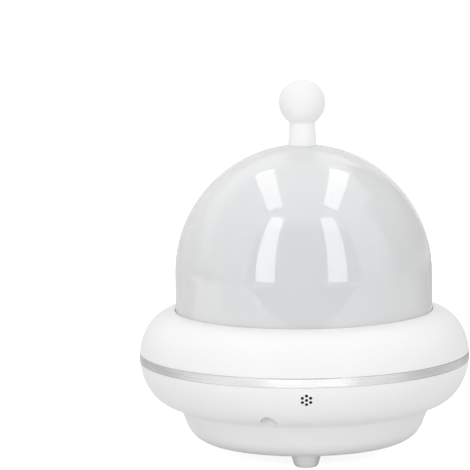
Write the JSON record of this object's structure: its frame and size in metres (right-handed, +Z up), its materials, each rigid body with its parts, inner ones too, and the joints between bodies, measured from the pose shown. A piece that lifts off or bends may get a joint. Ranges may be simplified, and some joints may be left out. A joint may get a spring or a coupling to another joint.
{
  "type": "star night light projector",
  "caption": "Saucer-shaped night light: a lift-off frosted dome with a ball knob over a gear-driven film globe with a star mask, a silver light ring round the middle and a footed cup below.",
  "frame": {"origin": "centre of the object on the plane that its feet stand on", "axes": "+Z up through the ball knob; the front, with the sound holes and the front foot, faces -Y; +X is to the right of a viewer in front"},
  "size_m": [0.145, 0.145, 0.1643],
  "materials": {
    "white_gloss": "moulded ABS, gloss, very light orange peel",
    "frosted_dome": "translucent milky polycarbonate, gloss outside",
    "silver_diffuser": "translucent acrylic with a silver print, satin",
    "grey_rubber": "soft matt silicone rubber",
    "steel": "zinc-plated steel",
    "deck_white": "moulded ABS, fine matt",
    "gear_white": "natural acetal, satin",
    "black_plastic": "black plastic, matt",
    "film_blue": "thin translucent blue film, gloss",
    "mask_film": "punched opaque film, satin",
    "aluminium": "extruded aluminium, bare",
    "board_white": "white solder mask",
    "led_yellow": "clear resin over phosphor",
    "clear_lens": "clear acrylic, polished",
    "brass_yellow": "turned brass",
    "amber_film": "flexible polyimide circuit",
    "board_green": "green solder mask on glass-fibre board",
    "cell_blue": "heat-shrink sleeve",
    "foam_tape": "closed-cell foam tape",
    "button_white": "moulded ABS, gloss",
    "switch_black": "black plastic with a pale plunger"
  },
  "bodies": {
    "housing": {"upper_housing": "white_gloss", "light_ring": "silver_diffuser", "lower_housing": "white_gloss", "housing_screws": "steel", "bottom_cover": "white_gloss", "cover_screws": "steel", "front_foot": "grey_rubber", "left_foot": "grey_rubber", "right_foot": "grey_rubber", "deck_plate": "deck_white", "deck_screws": "steel", "thrust_washer": "black_plastic", "retaining_clip": "steel", "lamp_post": "deck_white", "post_screws": "steel", "lamp_heat_sink": "aluminium", "lamp_board": "board_white", "lamp_leds": "led_yellow", "lamp_lens": "clear_lens", "gear_motor": "steel", "motor_screws": "steel", "ring_led_strip": "amber_film", "ring_leds": "led_yellow", "main_board": "board_green", "board_screws": "steel", "board_parts": "black_plastic", "microphone": "black_plastic", "mic_screen": "black_plastic", "battery_pack": "cell_blue", "battery_tape": "foam_tape", "charge_board": "board_green", "usb_socket": "steel", "power_switch": "steel", "button_board": "board_green", "button_board_screws": "steel", "button_switches": "switch_black"},
    "dome": {"dome_cover": "frosted_dome", "ball_knob": "white_gloss", "knob_washer": "grey_rubber", "knob_screw": "steel"},
    "turntable": {"turntable": "gear_white"},
    "film_globe": {"film_globe": "film_blue", "star_mask": "mask_film"},
    "pinion": {"motor_pinion": "brass_yellow", "motor_shaft": "steel"},
    "left_button": {"left_button": "button_white"},
    "right_button": {"right_button": "button_white"},
    "power_slider": {"power_slider": "black_plastic"}
  },
  "joints": [
    {"name": "dome_lift", "type": "slide", "parent": "housing", "child": "dome", "axis": [0, 0, 1], "range_m": [0, 0.12]},
    {"name": "turntable_spin", "type": "hinge", "parent": "housing", "child": "turntable", "pos_m": [0, 0, 0.0546], "axis": [0, 0, 1], "continuous": true},
    {"name": "film_lift", "type": "slide", "parent": "turntable", "child": "film_globe", "axis": [0, 0, 1], "range_m": [0, 0.045]},
    {"name": "pinion_spin", "type": "hinge", "parent": "housing", "child": "pinion", "pos_m": [-0.0432, 0, 0.0546], "axis": [0, 0, 1], "continuous": true},
    {"name": "left_button_press", "type": "slide", "parent": "housing", "child": "left_button", "axis": [0, -1, 0], "range_m": [0, 0.0008], "stiffness_N_per_m": 500, "springref_m": -0.0006},
    {"name": "right_button_press", "type": "slide", "parent": "housing", "child": "right_button", "axis": [0, -1, 0], "range_m": [0, 0.0008], "stiffness_N_per_m": 500, "springref_m": -0.0006},
    {"name": "power_slide", "type": "slide", "parent": "housing", "child": "power_slider", "axis": [-0.8829, 0.4695, 0], "range_m": [0, 0.003]}
  ],
  "couplings": [
    {"joint": "pinion_spin", "follows": "turntable_spin", "ratio": -5},
    {"joint": "film_lift", "follows": "dome_lift", "ratio": 0.375}
  ]
}
